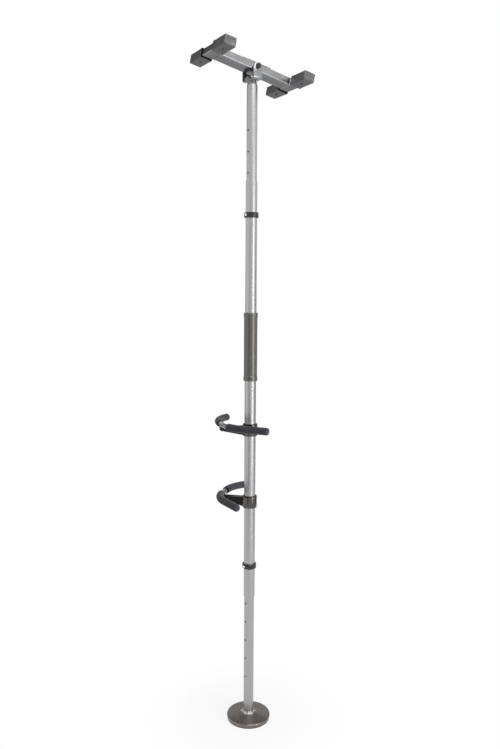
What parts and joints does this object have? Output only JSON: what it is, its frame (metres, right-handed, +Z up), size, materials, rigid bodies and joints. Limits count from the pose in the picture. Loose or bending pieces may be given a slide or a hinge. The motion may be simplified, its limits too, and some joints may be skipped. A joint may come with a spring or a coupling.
{
  "type": "transfer pole",
  "caption": "Floor-to-ceiling support pole: telescopic tubes on a round foot, swinging bow handles, a rubber hand grip and a screw jack under a tilting padded ceiling frame.",
  "frame": {"origin": "middle of the underside of the foot, on the floor", "axes": "+Z up along the pole, +Y away from the picture's camera, +X to the picture's right"},
  "size_m": [0.4432, 0.4042, 2.4755],
  "materials": {
    "tube_silver": "satin anodised",
    "dish_steel": "polished stainless steel",
    "hidden_steel": "machined",
    "bright_screws": "bright zinc",
    "bright_pin": "polished",
    "bronze": "plain",
    "mat_rubber": "matt",
    "pad_rubber": "satin",
    "grip_rubber": "fine texture",
    "foam": "matt foam",
    "nylon": "natural",
    "black_nylon": "matt",
    "ring_plastic": "glossy",
    "frame_paint": "metallic grey",
    "black_steel": "black oxide",
    "arm_paint": "glossy black",
    "dark_chrome": "dark chrome"
  },
  "bodies": {
    "base": {"base_dish": "dish_steel", "base_hub": "hidden_steel", "base_mat": "mat_rubber", "base_screws": "bright_screws", "thrust_washer": "bronze", "retaining_washer": "hidden_steel", "foot_bolt": "hidden_steel"},
    "lower_pole": {"foot_plug": "nylon", "lower_tube": "tube_silver", "lower_glide": "black_nylon"},
    "main_pole": {"main_tube": "tube_silver", "pole_grip": "grip_rubber", "lower_lock_ring": "ring_plastic", "upper_lock_ring": "ring_plastic"},
    "lower_pin": {"lower_lock_pin": "bright_pin"},
    "upper_pin": {"upper_lock_pin": "bright_pin"},
    "upper_pole": {"upper_tube": "tube_silver", "upper_glide": "black_nylon", "jack_nut": "tube_silver"},
    "jack": {"jack_spindle": "hidden_steel", "spindle_stop": "hidden_steel"},
    "bracket": {"clevis": "frame_paint", "stud_nut": "black_steel", "pivot_bolt": "black_steel", "pivot_nut": "black_steel", "pivot_washers": "black_nylon"},
    "ceiling_frame": {"crossbar": "frame_paint", "pivot_sleeve": "hidden_steel", "saddle_plate": "frame_paint", "left_cross_tube": "frame_paint", "right_cross_tube": "frame_paint", "left_near_pad": "pad_rubber", "left_far_pad": "pad_rubber", "right_near_pad": "pad_rubber", "right_far_pad": "pad_rubber", "pad_screws": "black_steel"},
    "lower_slider": {"lower_liner": "black_nylon"},
    "lower_handle": {"lower_collar": "dark_chrome", "lower_arm": "arm_paint", "lower_bar": "dark_chrome", "lower_long_grip": "foam", "lower_short_grip": "foam", "lower_set_screws": "bright_screws", "lower_tip_screw": "bright_screws"},
    "upper_slider": {"upper_liner": "black_nylon"},
    "upper_handle": {"upper_collar": "dark_chrome", "upper_arm": "arm_paint", "upper_bar": "dark_chrome", "upper_long_grip": "foam", "upper_short_grip": "foam", "upper_set_screws": "bright_screws", "upper_tip_screw": "bright_screws"}
  },
  "joints": [
    {"name": "pole_turn", "type": "hinge", "parent": "base", "child": "lower_pole", "pos_m": [0, 0, 0.045], "axis": [0, 0, 1], "continuous": true},
    {"name": "lower_extension", "type": "slide", "parent": "lower_pole", "child": "main_pole", "axis": [0, 0, 1], "range_m": [-0.441, 0.147]},
    {"name": "upper_extension", "type": "slide", "parent": "main_pole", "child": "upper_pole", "axis": [0, 0, 1], "range_m": [-0.294, 0.147]},
    {"name": "lower_lock", "type": "slide", "parent": "main_pole", "child": "lower_pin", "axis": [-0.7009, -0.7133, 0], "range_m": [-0.003, 0.003]},
    {"name": "upper_lock", "type": "slide", "parent": "main_pole", "child": "upper_pin", "axis": [-0.7009, -0.7133, 0], "range_m": [-0.003, 0.003]},
    {"name": "jack_lift", "type": "slide", "parent": "upper_pole", "child": "jack", "axis": [0, 0, 1], "range_m": [0, 0.08]},
    {"name": "frame_turn", "type": "hinge", "parent": "jack", "child": "bracket", "pos_m": [0, 0, 2.3843], "axis": [0, 0, 1], "range_deg": [0, 7200]},
    {"name": "frame_tilt", "type": "hinge", "parent": "bracket", "child": "ceiling_frame", "pos_m": [0, 0, 2.4248], "axis": [-0.5255, 0.8508, 0], "range_deg": [-46.1, 23.9]},
    {"name": "lower_handle_height", "type": "slide", "parent": "main_pole", "child": "lower_slider", "axis": [0, 0, 1], "range_m": [-0.15, 0.08]},
    {"name": "lower_handle_swing", "type": "hinge", "parent": "lower_slider", "child": "lower_handle", "pos_m": [0, 0, 0.863], "axis": [0, 0, 1], "continuous": true},
    {"name": "upper_handle_height", "type": "slide", "parent": "main_pole", "child": "upper_slider", "axis": [0, 0, 1], "range_m": [-0.08, 0.15]},
    {"name": "upper_handle_swing", "type": "hinge", "parent": "upper_slider", "child": "upper_handle", "pos_m": [0, 0, 1.137], "axis": [0, 0, 1], "continuous": true}
  ],
  "couplings": [
    {"joint": "jack_lift", "follows": "frame_turn", "m_per_rad": 0.00063662}
  ]
}
